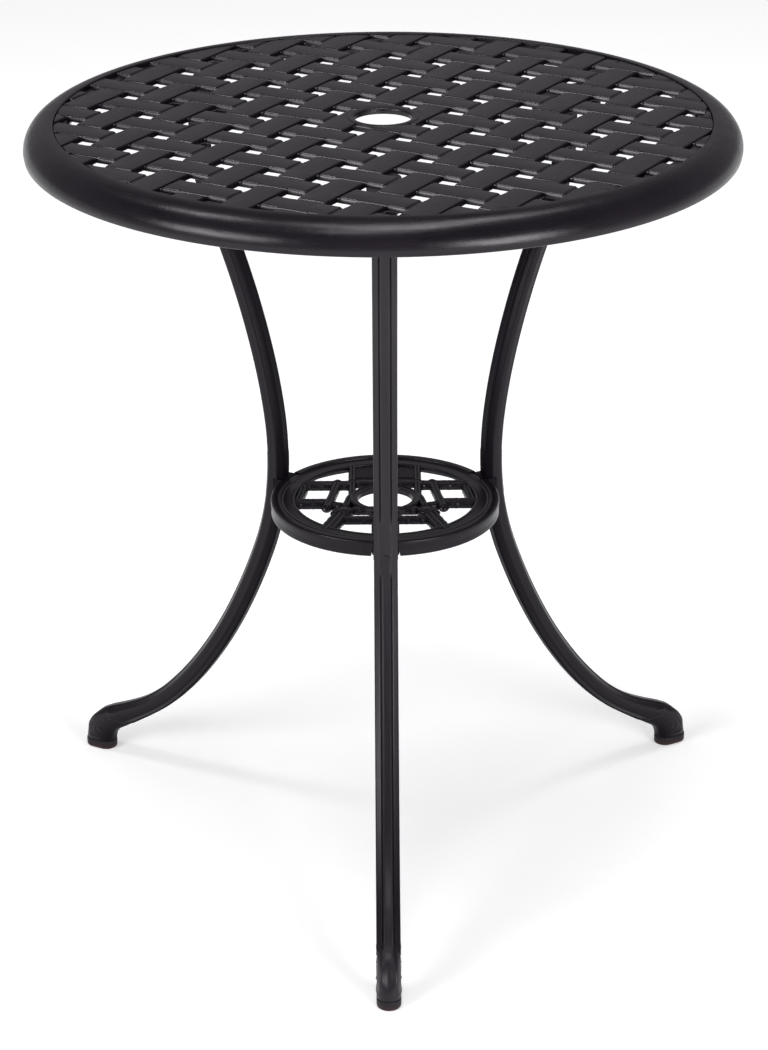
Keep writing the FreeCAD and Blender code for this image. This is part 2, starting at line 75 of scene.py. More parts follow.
# Roughness, depths of the drag lines, the waves and the grit, and the painted change of sheen
COATS = {
    "tabletop_rim": (0.28, 0.05, 0.35, 0.012, None),
    "tabletop_weave": (0.30, 0.04, 0.18, 0.004, WEAVE_PAINTED_SHEEN),
    "leg": (0.38, 0.03, 0.2, 0.02, LEG_PAINTED_SHEEN),
    "brace_ring": (0.30, 0.02, 0.2, 0.02, RING_PAINTED_SHEEN),
}
PLASTIC_RED_BROWN = (0.026, 0.009, 0.009)
RED_BROWN_SPAN = (6.0, 2.5)        # heights above the floor between which the glides turn red-brown
ZINC = ((0.30, 0.30, 0.31), (0.48, 0.48, 0.50))
BLACKENED = ((0.006, 0.005, 0.007), (0.011, 0.010, 0.012))

# Tabletop. Heights are from the top of the weave.
rim_low, rim_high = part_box("tabletop_rim")
RIM_RADIUS = rim_high.x / MM
RIM_PROUD = rim_high.z / MM
RIM_BOTTOM = rim_low.z / MM
RIM_WIDEST = -20.0
RIM_WALL = 4.6
RIM_INNER_RADIUS = 274.6
RIM_LAND = 1.6
NOSE_STEPS = 30
CURL_IN = 2.6                 # how far the curled lower edge's middle lies inside the rim
CURL_RADIUS = 2.3
CURL_TURN = 150.0             # degrees that the curl turns through
CURL_STEPS = 8
LEDGE_INNER_RADIUS = 262.0
LEDGE_THICKNESS = 4.0
WEAVE_THICKNESS = 4.8
WEAVE_RADIUS = 273.9
BORDER_WIDTH = 10.0
BORDER_TOP = -2.6
BORDER_BOTTOM = -4.65
BOSS_TOP = -2.7
BOSS_MARGIN = 1.0             # a boss reaches this far past the flange under it
COLLAR_RADIUS = 31.0
POLE_HOLE_RADIUS = 24.25

# Basket weave
STRIP_PITCH = 44.55
STRIP_HALF = 12.5
STRIP_AZIMUTH = 60.2
STRIPS_EACH_SIDE = 6
STATION = 2.2                 # spacing of the points along a strip
STATION_FINE = 0.38           # and of those on its slopes
OVER_FLAT = 28.0              # a strip is flat this far each side of where it passes over
UNDER_FLAT = 29.9             # and level again from here, under the strip that crosses it
UNDER_DROP = 1.1
STRIP_EDGE = 0.35
OPENING_BEVEL = (0.95, 0.8)   # width and depth of the bevel on a strip's edges at the openings
CROSSING_BEVEL = (1.2, 0.15)  # and where it passes over another strip
BEVEL_CHANGE = (-0.5, 1.5)    # the one becomes the other here, from the crossing strip's edge
STRIP_CROWN = 0.1             # a strip's middle stands this much above its edges
STRIP_DRAFT = 1.0             # a strip is this much wider each side at its foot
STEEP_BOTTOM = -4.75          # underside of the strips that run at STRIP_AZIMUTH
FLAT_BOTTOM = -4.7            # and of those that cross them

# Legs, as in the frame: a bend is (radius, heading after it), a run is (None, length)
WAIST_RADIUS = 109.5
WAIST_UP = 338.0
UPPER_MOVES = [(150.0, -24.0), (None, 20.0), (700.0, -14.0), (500.0, -8.0), (300.0, 0.0)]
LOWER_MOVES = [
    (260.0, 20.0), (581.0, 28.0), (438.0, 37.0), (332.0, 45.0), (204.0, 60.0), (None, 16.0),
]
LEG_STEP = 4.0                # spacing of the rings of points along a leg
LEG_HALF_DEPTH = 9.0
LEG_HALF_WIDTH = 10.5
SECTION_SPACING = 0.55        # longest gap between points round the section
FLANK_HALF = 4.6
FLANK_HOLLOW = 1.2
RIB_HALF = 4.0
RIB_SIDE = (-0.7, 0.15)       # the rib's side slopes down between these, from its edge
SHOULDER_HALF = 5.2
RIB_HEIGHT = 1.3
RIB_CROWN = 0.2               # a rib's middle stands this much above its edges
RIB_BEAD = 0.25               # height of the fine line along each edge
RIB_BEAD_IN = 0.9             # this far inside the edge
RIB_GROOVE = 0.8              # depth of the groove beside the rib
RIB_GROOVE_OUT = 0.7          # this far outside the edge
RIB_LINE = 0.5                # spread of both
RIB_GAP = (302.0, 343.0)      # heights above the floor between which the ribs are smoothed away
RIB_FADE = 4.0
PLAIN_HEIGHT = 0.8            # there the face is plain and this share of a rib high
PLAIN_HALF = 6.5
FLANGE_UP = 646.0
FLANGE_THICKNESS = 7.0
FLANGE_LENGTH = 66.0
FLANGE_WIDTH = 26.0

# Foot, side view as (radius, height above the floor)
GLIDE_HEIGHT = 9.0
TOE_RADIUS = 330.0
TOE_OVERHANG = 1.6
TOE_ARC = 38.0
CREST_ANGLE = 67.0
HEEL_RADIUS = 300.0
ARCH_END = (290.0, 24.5)
UNDERSIDE_ROOT = (262.0, 41.5)
HEEL_WAY = (0.12, -1.0)       # direction in which the arch meets the glide
GLIDE_HALF_WIDTH = 10.3
FOOT_HALF_WIDTH = 9.9
FOOT_STEPS = 110
FOOT_LENGTH = 90.0            # along the grain
FOOT_START = 246.0            # the stem's section is carried as far as this radius
STEM_ABOVE = 400.0            # and everywhere above this height
FOOT_FULLNESS = 2.7           # 2 would make the toe's section an ellipse
LOBE_AT = 7.4                 # the toe's two lobes swell this far from its middle
LOBE_SWELL = 1.9
LOBE_SPREAD = 2.4
LOBE_GROOVE = 1.4
GROOVE_SPREAD = 3.6
LOBE_FACE = (0.3, 0.9)        # shares of the foot's half depth over which the lobes come up
FLANK_EDGE = (0.7, 0.95)      # shares of its half width over which the cast lines come up
# Where the foot's forms change, as shares of the way along it
NARROWING = (0.5, 0.62)
TOE_SPAN = (0.5, 0.66)        # from the stem's section to the toe's
RIB_END = (0.55, 0.6)
LOBES_START = (0.62, 0.78)
LOBES_END = (0.84, 0.95)
WIDENING = (0.9, 1)

# Cast lines on the foot's flanks, in side view: (height, spread, points)
FLANK_LINES = [
    (1.6, 1.3, [(277, 40.5), (288, 42.2), (301, 41.6)]),
    (-0.5, 0.9, [(282, 38), (291, 39.2), (303, 38.6)]),
    (0.6, 1.0, [(279, 34.5), (289, 36), (298, 36)]),
    (-0.8, 1.2, [(303.3, 32), (303.7, 32)]),
    (-0.9, 1.5, [(309.8, 21.2), (310.2, 21.2)]),
    (-0.6, 0.9, [(300, 19), (305, 14.8), (310, 12.4), (321, 12.4), (328, 13)]),
    (0.5, 0.9, [(300, 33), (307, 28), (310, 26.5), (315, 24.5), (317.5, 20.5), (315.5, 16.5),
                (311.5, 15)]),
    (0.55, 0.9, [(302, 40), (310, 36), (317, 30), (322, 23), (324, 16)]),
]

# Brace ring
RING_UP = 321.6
RING_RADIUS = 100.2
RING_INNER_RADIUS = 79.0
RING_SKIRT = 14.3
RING_WALL = 4.6
RING_BAND = 5.0
NOTCH_HALF = 10.8
NOTCH_FLARE_HALF = 12.75
NOTCH_FLARE_HEIGHT = 8.0
NOTCH_DEPTH = 4.0
PAD_DEPTH = 8.0
BAR_REACH = 82.0
BAR_THICKNESS = 6.2
REED_HEIGHT = 1.4
REED_FULLNESS = 0.6           # 1 would make a reed's section a sine
REED_POINTS = 12
BAR_ROLL = 2.8                # radius to which a bar's edges are rolled over
BAR_STEP = 0.7
BAR_END = 0.7                 # length of a bar's domed end, as a share of half its width
NODE_SPREAD = 0.9
NODE_SWELL = 0.05             # a bar is wider by this share at a node
NODE_FILL = 0.25              # and its grooves are filled by this share
NECK_AWAY = 2.4               # beside each node it is drawn in a little
NECK_SPREAD = 1.0
NECK_DRAW = 0.04
BEAD_WIDTH = 7.0
KNOB_PROUD = 0.8
KNOB_SQUASH = 0.8
BELT_SWELL = 0.06
BELT_SPREAD = 0.16

# Fretwork in plan: start, end, width, depth under the ring's top, reeds, nodes, and in
# SIDE_BARS knob places along the bar. SIDE_BARS is the right side, mirrored to the left.
MIDDLE_BARS = [
    ((-31, 39), (31, 39), 8, 0.8, 2, 5),
    ((-29, -22), (29, -22), 8, 0.8, 2, 5),
    ((-38, -43), (38, -43), 8, 0.8, 2, 6),
]
SIDE_BARS = [
    ((29, 2), (29, BAR_REACH - 6), 7, 0.8, 2, 5, [0.53]),
    ((30, 8), (35.2, -18), 8, 0.8, 2, 2, []),
    ((38.5, -32), (51, -69), 15, 0.8, 3, 4, []),
    ((41, -30), (44.5, -32), 5, 0.8, 1, 0, [1.0]),
    ((28, 35.5), (BAR_REACH - 8, 35.5), 11, 0.8, 3, 4, []),
    ((36, -14), (52, -9), 9, 0.8, 2, 1, []),
    ((44, -6), (BAR_REACH - 1, -6), 12, 0.8, 3, 3, []),
    ((42, 38), (51, -18), 8, 0.5, 2, 4, [0.0, 1.0]),
    ((71.5, 30), (76.8, -4), 8, 1.4, 2, 3, []),
]
PADS = [(36, -26, 8.3)]       # place in plan and radius, also mirrored
PAD_DROP = 0.4
# A pad's section from its foot inward: share of the radius, depth under its top
PAD_PROFILE = [
    (0.96, BAR_THICKNESS + 0.4), (1.0, BAR_THICKNESS), (1.0, 1.6), (0.95, 0.7), (0.86, 0.3),
    (0.78, 0.9),
] + [(k / 10, 0.6 - 0.5 * (1 - (k / 7) ** 2)) for k in range(7, 0, -1)]
DIMPLES = 6
DIMPLE_DEPTH = 0.5
DIMPLE_SPREAD = 0.14          # share of the pad's radius
PLATES = [((-30, 30), (50, BAR_REACH + 2)), ((-12, 12), (-BAR_REACH - 2, -26))]
PLATE_DROP = 2.4
PLATE_PITCH = 5.2
PLATE_CELLS = 5               # mesh cells in each pitch
PLATE_RELIEF = 0.9

# Camera and light, in metres
CAMERA_PLACE = (-0.0082, -2.57216, 0.72804)
CAMERA_PITCH = 0.4037
CAMERA_TURN = 0.00278
CAMERA_ROLL = -0.00547
CAMERA_LENS = 108.93
SENSOR = 36.0
FLOOR_HALF = 14.0
FLOOR_DARK = (0.90, 0.90, 0.905)
FLOOR_LIGHT = (0.92, 0.92, 0.925)
FLOOR_LIFT = (0.29, 0.57)     # added to the floor's own shade where it is seen, near and far
LIFT_SPAN = (0.9, 2.4)        # distances between which the one becomes the other
STUDIO_TINT = (1.0, 0.96, 1.01)
WALL = 0.29                   # brightness of the studio round the table
CEILING = 0.15                # and overhead
CEILING_SPAN = (0.45, 0.65)   # sines of the elevations between which the one becomes the other
LAMPS = [                     # name, place, width and height, brightness
    ("overhead", (-0.05, -0.2, 2.6), (1.2, 0.6), 6.0),
    ("overhead_wide", (0.2, -0.2, 2.6), (3.2, 0.6), 7.0),
    ("high_left", (-1.35, 0.4, 2.5), (0.5, 0.5), 17.0),
    ("left", (-1.68, -1.42, 0.45), (1.2, 0.6), 14.0),
    ("right", (1.3, -1.85, 0.12), (1.0, 0.8), 16.0),
]
LAMP_TARGET = (0, -0.1, -0.05)


def up_to_z(up):
    """Height in the frame of a point this far above the floor."""
    return FLOOR_Z + up


def ease(low, high, x):
    """0 below low, 1 above high, and a smooth rise between."""
    t = min(1.0, max(0.0, (x - low) / (high - low)))
    return t * t * (3 - 2 * t)


def turned(points, azimuth):
    """Points drawn along +X, turned about the pole axis."""
    turn = Matrix.Rotation(math.radians(azimuth), 3, "Z")
    return [turn @ p for p in points]


def arc_between(start, end, centre, steps):
    """Points from start to end round a centre, both ends kept."""
    a, b = start - centre, end - centre
    angle = a.angle(b, 0.0)
    points = []
    for k in range(steps + 1):
        t = k / steps
        if angle < NO_ANGLE:
            points.append(start.lerp(end, t))
        else:
            spoke = a * math.sin((1 - t) * angle) + b * math.sin(t * angle)
            points.append(centre + spoke / math.sin(angle))
    return points


def rounded(corners, steps=4):
    """A closed outline of (x, y, radius) corners, each turned into an arc."""
    outline = []
    for i, (x, y, radius) in enumerate(corners):
        corner = Vector((x, y))
        before = (Vector(corners[i - 1][:2]) - corner).normalized()
        after = (Vector(corners[(i + 1) % len(corners)][:2]) - corner).normalized()
        half = before.angle(after) / 2
        if half > NEARLY_STRAIGHT:
            outline += [corner] * (steps + 1)
            continue
        reach = radius / math.tan(half)
        centre = corner + (before + after).normalized() * (radius / math.sin(half))
        outline += arc_between(corner + before * reach, corner + after * reach, centre, steps)
    return outline


def densified(outline, longest):
    """The same closed outline with its long edges divided."""
    points = []
    for i, a in enumerate(outline):
        b = outline[(i + 1) % len(outline)]
        parts = max(1, math.ceil((b - a).length / longest))
        points += [a.lerp(b, k / parts) for k in range(parts)]
    return points


class Island:
    """A closed piece of mesh in millimetres, with each point's place along the casting's grain."""

    def __init__(self, points, faces, grain=None):
        self.points = points
        self.faces = faces
        self.grain = grain or points

    def turned(self, azimuth):
        return Island(turned(self.points, azimuth), self.faces, self.grain)


def loft(rings, closed=False, grain=None):
    """A skin over rings of equally many points, joined to itself or capped at both ends."""
    count = len(rings[0])
    points = [p for ring in rings for p in ring]
    faces = []
    last = len(rings) if closed else len(rings) - 1
    for i in range(last):
        a, b = i * count, (i + 1) % len(rings) * count
        for k in range(count):
            n = (k + 1) % count
            faces.append((a + k, a + n, b + n, b + k))
    if not closed:
        faces.append(tuple(reversed(range(count))))
        faces.append(tuple(range(len(points) - count, len(points))))
    return Island(points, faces, grain)


def lathe(outline, segments):
    """A closed outline of (radius, height) turned about the pole axis."""
    rings = []
    grain = []
    for i in range(segments):
        a = math.tau * i / segments
        rings.append([Vector((r * math.cos(a), r * math.sin(a), z)) for r, z in outline])
        grain += [Vector((r * a, r, z)) for r, z in outline]
    return loft(rings, closed=True, grain=grain)


def lathe_arc(outline, half_angle_at, middle, segments=64):
    """The outline turned over part of a circle; half_angle_at(z) is half its span at a height."""
    rings = []
    for i in range(segments + 1):
        share = 2 * i / segments - 1
        ring = []
        for r, z in outline:
            a = math.radians(middle) + share * half_angle_at(z)
            ring.append(Vector((r * math.cos(a), r * math.sin(a), z)))
        rings.append(ring)
    return loft(rings)


def inset(outline, distance):
    """A plan outline, anticlockwise, drawn in by a distance."""
    points = []
    for i, p in enumerate(outline):
        before = (p - outline[i - 1]).normalized()
        after = (outline[(i + 1) % len(outline)] - p).normalized()
        along = (before + after).normalized()
        inward = Vector((-along.y, along.x))
        points.append(p + inward * (distance / max(0.5, along.dot(after))))
    return points


def slab(outline, low, high, edge, steps=4, top_edge=None):
    """A plan outline made solid between two heights, with its edges rounded over."""
    top_edge = top_edge or edge
    quarter = [math.pi / 2 * k / steps for k in range(steps + 1)]
    levels = [(edge * (1 - math.sin(a)), low + edge * (1 - math.cos(a))) for a in quarter]
    levels += [(top_edge * (1 - math.cos(a)), high - top_edge * (1 - math.sin(a))) for a in quarter]
    rings = [[Vector((p.x, p.y, z)) for p in inset(outline, drawn_in)] for drawn_in, z in levels]
    return loft(rings)


def stadium(x0, x1, width, steps=14):
    """A plan outline with two round ends, along +X."""
    r = width / 2
    outline = []
    for centre, start in ((x1 - r, -90), (x0 + r, 90)):
        for k in range(steps + 1):
            a = math.radians(start + 180 * k / steps)
            outline.append(Vector((centre + r * math.cos(a), r * math.sin(a))))
    return outline


def rectangle(x0, x1, half_width, corner=1.0):
    """A plan outline with four rounded corners, along +X."""
    places = [(x0, -half_width), (x1, -half_width), (x1, half_width), (x0, half_width)]
    return rounded([(x, y, corner) for x, y in places])


def capped(length, radius, spacing, end):
    """Distances along a bar and its relative radius there, closing to a dome at both ends.

    The domes are as long as this share of the radius.
    """
    count = max(8, round(length / spacing))
    stations = []
    for i in range(count + 1):
        s = length * i / count
        nearest = min(s, length - s) / (end * radius)
        shrink = math.sqrt(max(0.0, 1 - (1 - min(1.0, nearest)) ** 2))
        stations.append((s, max(0.05, shrink)))
    return stations


def knob(centre, radius, steps=12, sides=20):
    """A cast ball, a little flattened, with a fine belt round its middle."""
    rings = []
    for i in range(1, steps):
        a = math.pi * i / steps - math.pi / 2
        belt = 1 + BELT_SWELL * math.exp(-(a / BELT_SPREAD) ** 2)
        r, z = radius * math.cos(a) * belt, radius * KNOB_SQUASH * math.sin(a)
        ring = []
        for k in range(sides):
            turn = math.tau * k / sides
            ring.append(centre + Vector((r * math.cos(turn), r * math.sin(turn), z)))
        rings.append(ring)
    return loft(rings)


def piece(name, islands, material, replaced, weld=0.0):
    """One object from closed islands, riding on the frame in place of a CAD node."""
    points, faces, grain = [], [], []
    for island in islands:
        base = len(points)
        points += [p * MM for p in island.points]
        faces += [tuple(base + k for k in face) for face in island.faces]
        grain += island.grain
    mesh = bpy.data.meshes.new(name)
    mesh.from_pydata(points, [], faces)
    layer = mesh.attributes.new("grain", "FLOAT_VECTOR", "POINT")
    layer.data.foreach_set("vector", [c for p in grain for c in (p * MM)])
    work = bmesh.new()
    work.from_mesh(mesh)
    if weld:
        bmesh.ops.remove_doubles(work, verts=work.verts, dist=weld * MM)
        bmesh.ops.dissolve_degenerate(work, edges=work.edges, dist=weld * MM)
    bmesh.ops.recalc_face_normals(work, faces=work.faces)
    work.to_mesh(mesh)
    work.free()
    mesh.polygons.foreach_set("use_smooth", [True] * len(mesh.polygons))
    mesh.set_sharp_from_angle(angle=SHARP_ANGLE)
    mesh.materials.append(material)
    obj = bpy.data.objects.new(name, mesh)
    bpy.context.scene.collection.objects.link(obj)
    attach(obj, "root")
    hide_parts(replaced)


class Nodes:
    """A short way to write the node tree of a material or of the world."""

    def __init__(self, owner, shader="Principled BSDF"):
        owner.use_nodes = True
        self.owner = owner
        self.tree = owner.node_tree
        self.shader = self.tree.nodes[shader]

    def fill(self, socket, value):
        if isinstance(value, bpy.types.NodeSocket):
            self.tree.links.new(value, socket)
        else:
            socket.default_value = value

    def add(self, kind, inputs=None, **settings):
        node = self.tree.nodes.new("ShaderNode" + kind)
        for key, value in settings.items():
            setattr(node, key, value)
        for key, value in (inputs or {}).items():
            self.fill(node.inputs[key], value)
        return node

    def give(self, name, value):
        """Set a socket of the shader to a plain value, or link another node's output to it."""
        self.fill(self.shader.inputs[name], value)

    def noise(self, place, scale, detail, roughness=0.5):
        inputs = {"Vector": place, "Scale": scale, "Detail": detail, "Roughness": roughness}
        return self.add("TexNoise", inputs).outputs["Fac"]

    def combine(self, operation, a, b):
        return self.add("Math", {0: a, 1: b}, operation=operation).outputs[0]

    def mapped(self, value, start, end, first, last):
        """The value from start to end made into one from first to last."""
        inputs = {"From Min": start, "From Max": end, "To Min": first, "To Max": last}
        return self.add("MapRange", {"Value": value, **inputs}).outputs["Result"]

    def bump(self, height, depth, normal=None):
        """The normal over a relief this many millimetres deep."""
        inputs = {"Height": height, "Strength": 1.0, "Distance": depth * MM}
        if normal:
            inputs["Normal"] = normal
        return self.add("Bump", inputs).outputs[0]

    def colours(self, value, *stops):
        """The base colour, following the value through two (position, colour) stops."""
        ramp = self.add("ValToRGB", {"Fac": value})
        for stop, (position, colour) in zip(ramp.color_ramp.elements, stops):
            stop.position = position
            stop.color = (*colour, 1)
        self.give("Base Color", ramp.outputs["Color"])


def powder_coat(name, rough, drag_depth, wave_depth, grit_depth, sheen):
    """Satin black powder coat on a casting: soft waves, a drag along the piece and a fine grain.

    Where sheen is given, the coat's sheen follows the way each face is turned, as painted shade and
    highlight, in the form of the weave's painted sheen above.
    """
    n = Nodes(bpy.data.materials.new(name))
    place = n.add("TexCoord").outputs["Object"]
    along = n.add("Attribute", attribute_name="grain").outputs["Vector"]
    stretched = n.add("VectorMath", {0: along, 1: DRAG_STRETCH}, operation="MULTIPLY").outputs[0]
    fine = n.noise(place, scale=900.0, detail=3.0, roughness=0.6)
    broad = n.noise(place, scale=38.0, detail=2.0)
    patches = n.noise(place, scale=11.0, detail=5.0, roughness=0.6)
    drag = n.noise(stretched, scale=420.0, detail=2.0, roughness=0.6)
    n.colours(patches, (0.3, COAT_DARK), (0.75, COAT_LIGHT))
    uneven = n.combine("ADD", patches, drag)
    n.give("Roughness", n.mapped(uneven, 0.7, 1.3, rough - 0.05, rough + 0.05))
    lines = n.bump(drag, drag_depth, n.bump(broad, wave_depth))
    n.give("Normal", n.bump(fine, grit_depth, lines))
    n.give("Specular IOR Level", SHEEN)
    n.give("Specular Tint", (*COAT_GLOSS, 1))
    # Painted shade and highlight: the sheen follows which way a face turns, or how far out it lies
    # on a leg
    if sheen:
        kind, start, end, first, last = sheen
        facing = n.add("SeparateXYZ", {0: n.add("TexCoord").outputs["Normal"]}).outputs
        depth = n.add("SeparateXYZ", {0: along}).outputs["Z"]
        measure = {"facing right": facing["X"], "facing up": facing["Z"], "outward": depth}[kind]
        n.give("Specular IOR Level", n.mapped(measure, start, end, first, last))
    return n.owner


def bolt_metal(name, dark, light, metallic, rough):
    """Plated or blackened steel with faint turning marks."""
    n = Nodes(bpy.data.materials.new(name))
    speckle = n.noise(n.add("TexCoord").outputs["Object"], scale=1500.0, detail=3.0)
    n.colours(speckle, (0.0, dark), (1.0, light))
    n.give("Roughness", n.mapped(speckle, 0.0, 1.0, rough - 0.08, rough + 0.1))
    n.give("Normal", n.bump(speckle, 0.03))
    n.give("Metallic", metallic)
    if not metallic:
        n.give("Specular IOR Level", SHEEN)
    return n.owner


def moulded_plastic(name):
    """The dark brown-black plastic of the glides, turning red-brown near the floor."""
    n = Nodes(bpy.data.materials.new(name))
    place = n.add("TexCoord").outputs["Object"]
    cloud = n.noise(place, scale=160.0, detail=5.0, roughness=0.7)
    height = n.add("SeparateXYZ", {0: place}).outputs["Z"]
    plain_height, red_height = (up_to_z(up) * MM for up in RED_BROWN_SPAN)
    low = n.mapped(height, plain_height, red_height, 0.0, 1.0)
    n.colours(n.combine("MULTIPLY", cloud, low), (0.0, COAT_LIGHT), (0.6, PLASTIC_RED_BROWN))
    n.give("Specular IOR Level", SHEEN)
    n.give("Roughness", n.mapped(cloud, 0.0, 1.0, 0.45, 0.65))
    n.give("Normal", n.bump(cloud, 0.05))
    return n.owner


def rim_islands():
    """The rolled edge of the top: a bull nose, open underneath, with a ledge inside it."""
    nose_x = RIM_INNER_RADIUS + RIM_LAND
    nose_width = RIM_RADIUS - nose_x
    nose_height = RIM_PROUD - RIM_WIDEST
    ledge_bottom = -WEAVE_THICKNESS - LEDGE_THICKNESS

    def on_nose(angle, inset_by):
        a = math.radians(angle)
        r = nose_x + (nose_width - inset_by) * math.cos(a)
        return Vector((r, RIM_WIDEST + (nose_height - inset_by) * math.sin(a)))

    outline = [on_nose(90 * k / NOSE_STEPS, 0) for k in range(NOSE_STEPS + 1)]
    lip = rounded([
        (nose_x, RIM_PROUD, 0.1),
        (RIM_INNER_RADIUS, RIM_PROUD, 0.9),
        (RIM_INNER_RADIUS, -WEAVE_THICKNESS, 0.2),
        (LEDGE_INNER_RADIUS, -WEAVE_THICKNESS, 0.8),
        (LEDGE_INNER_RADIUS, ledge_bottom, 0.8),
        (nose_x, ledge_bottom, 0.6),
    ])
    outline += lip[5:-5]          # its first and last corners lie on the nose
    outline += [Vector((nose_x, ledge_bottom))]
    outline += [on_nose(90 - 90 * k / NOSE_STEPS, RIM_WALL) for k in range(NOSE_STEPS + 1)]
    curl = Vector((RIM_RADIUS - CURL_IN, RIM_BOTTOM + CURL_RADIUS))
    for k in range(CURL_STEPS + 1):
        a = math.radians(180 + CURL_TURN * k / CURL_STEPS)
        outline.append(curl + Vector((CURL_RADIUS * math.cos(a), CURL_RADIUS * math.sin(a))))
    return [lathe(outline, 320)]


def strip_top(distance):
    """Height of a strip's top, this far along from where it passes over."""
    return -UNDER_DROP * ease(OVER_FLAT, UNDER_FLAT, distance)


def strip_stations(length, over_first):
    """Places along a strip from one end to the other, closer together on its slopes."""
    count = round(2 * length / STATION)
    stations = [2 * length * i / count - length for i in range(count + 1)]
    fine_count = round((UNDER_FLAT - OVER_FLAT) / STATION_FINE)
    slope = [OVER_FLAT + STATION_FINE * k for k in range(fine_count + 1)]
    for crossing in range(-2 * STRIPS_EACH_SIDE, 2 * STRIPS_EACH_SIDE):
        over = (2 * crossing + 0.5 + over_first) * STRIP_PITCH
        places = [over + way * s for s in slope for way in (-1, 1)]
        stations += [place for place in places if abs(place) < length - 0.1]
    return sorted(stations)


def weave_strip(place, over_first, along, across, bottom):
    """One strip of the weave, clipped to the round top and wrapped round the collar."""
    nearest = max(0.0, abs(place) - STRIP_HALF)
    length = math.sqrt(WEAVE_RADIUS ** 2 - nearest ** 2)
    side = 1 if place > 0 else -1
    rings, grain = [], []
    for station in strip_stations(length, over_first):
        phase = (station / STRIP_PITCH - 0.5 - over_first + 1) % 2 - 1
        top = strip_top(abs(phase) * STRIP_PITCH)
        beside = ease(*(STRIP_HALF + c for c in BEVEL_CHANGE), abs(phase) * STRIP_PITCH)
        bevel_width, bevel_depth = (
            c + (o - c) * beside for c, o in zip(CROSSING_BEVEL, OPENING_BEVEL))
        section = rounded([
            (-STRIP_HALF, top - bevel_depth, STRIP_EDGE),
            (-STRIP_HALF + bevel_width, top, STRIP_EDGE),
            (0, top + STRIP_CROWN, 6.0),
            (STRIP_HALF - bevel_width, top, STRIP_EDGE),
            (STRIP_HALF, top - bevel_depth, STRIP_EDGE),
            (STRIP_HALF + STRIP_DRAFT, bottom, 0.6),
            (-STRIP_HALF - STRIP_DRAFT, bottom, 0.6),
        ], 3)
        ring = []
        for offset, z in section:
            t = place + offset
            wrap = math.sqrt(max(0.0, (COLLAR_RADIUS - 1) ** 2 - station ** 2))
            if abs(place) < COLLAR_RADIUS and wrap > nearest:
                outer = abs(place) + STRIP_HALF
                t = side * (outer - (outer - side * t) * (outer - wrap) / (outer - nearest))
            t = max(-WEAVE_RADIUS + 1, min(WEAVE_RADIUS - 1, t))
            reach = math.sqrt(WEAVE_RADIUS ** 2 - t ** 2)
            s = max(-reach, min(reach, station))
            flat = along * s + across * t
            ring.append(Vector((flat.x, flat.y, z)))
            grain.append(Vector((s, t, 0)))
        rings.append(ring)
    return loft(rings, grain=grain)


def weave_islands():
    """The basket weave with its border, the umbrella hole's collar and the bosses underneath."""
    steep = math.radians(STRIP_AZIMUTH)
    along = Vector((math.cos(steep), math.sin(steep), 0))
    across = Vector((math.sin(steep), -math.cos(steep), 0))
    islands = []
    for i in range(-STRIPS_EACH_SIDE, STRIPS_EACH_SIDE):
        place = (i + 0.5) * STRIP_PITCH
        islands.append(weave_strip(place, i % 2, along, across, STEEP_BOTTOM))
        islands.append(weave_strip(place, (i + 1) % 2, across, along, FLAT_BOTTOM))
    islands.append(lathe(rounded([
        (WEAVE_RADIUS - BORDER_WIDTH, BORDER_BOTTOM, 0.4),
        (WEAVE_RADIUS - 0.1, BORDER_BOTTOM, 0.4),
        (WEAVE_RADIUS - 0.1, BORDER_TOP, 0.6),
        (WEAVE_RADIUS - BORDER_WIDTH, BORDER_TOP, 0.6),
    ]), 256))
    islands.append(lathe(rounded([
        (POLE_HOLE_RADIUS, -WEAVE_THICKNESS, 0.5),
        (COLLAR_RADIUS, -WEAVE_THICKNESS, 0.5),
        (COLLAR_RADIUS, 0.25, 1.2),
        (COLLAR_RADIUS - 2.6, 0.55, 0.8),
        (POLE_HOLE_RADIUS, 0.1, 1.3),
    ]), 96))
    start = leg_start().x - FLANGE_LENGTH / 2 - BOSS_MARGIN
    end = start + FLANGE_LENGTH + 2 * BOSS_MARGIN
    outline = stadium(start, end, FLANGE_WIDTH + 2 * BOSS_MARGIN)
    boss = slab(outline, up_to_z(FLANGE_UP + FLANGE_THICKNESS), BOSS_TOP, 1.0)
    islands += [boss.turned(azimuth) for azimuth in LEG_AZIMUTHS.values()]
    return islands


def direction(heading):
    h = math.radians(heading)
    return Vector((math.sin(h), 0, -math.cos(h)))


def outward(heading):
    """Square to the leg's direction, on its outer side."""
    h = math.radians(heading)
    return Vector((math.cos(h), 0, math.sin(h)))


def follow(point, moves, step):
    """Points and headings along the centre line, about a step apart."""
    heading = 0.0
    trail = [(point, heading)]
    for radius, value in moves:
        if radius is None:
            parts = max(1, round(value / step))
            start = point
            for k in range(1, parts + 1):
                point = start + direction(heading) * (value * k / parts)
                trail.append((point, heading))
            continue
        side = radius if value > heading else -radius
        centre = point + outward(heading) * side
        parts = max(1, round(abs(math.radians(value - heading)) * radius / step))
        first = heading
        for k in range(1, parts + 1):
            heading = first + (value - first) * k / parts
            point = centre - outward(heading) * side
            trail.append((point, heading))
    return trail


def leg_start():
    """The plumb top of the leg's neck, placed so that the waist comes where it should."""
    end = follow(Vector((0, 0, 0)), UPPER_MOVES, 50.0)[-1][0]
    return Vector((WAIST_RADIUS, 0, up_to_z(WAIST_UP))) - end


def stem_section():
    """The leg's section without its ribs, as (outward, sideways) points."""
    d, w = LEG_HALF_DEPTH - RIB_HEIGHT, LEG_HALF_WIDTH
    half = [
        (d, SHOULDER_HALF, 1.6),
        (FLANK_HALF, w, 2.0),
        (0, w - FLANK_HOLLOW, 3.0),
        (-FLANK_HALF, w, 2.0),
        (-d, SHOULDER_HALF, 1.6),
    ]
    other = [(x, -y, r) for x, y, r in reversed(half)]
    return densified(rounded(half + other, 5), SECTION_SPACING)


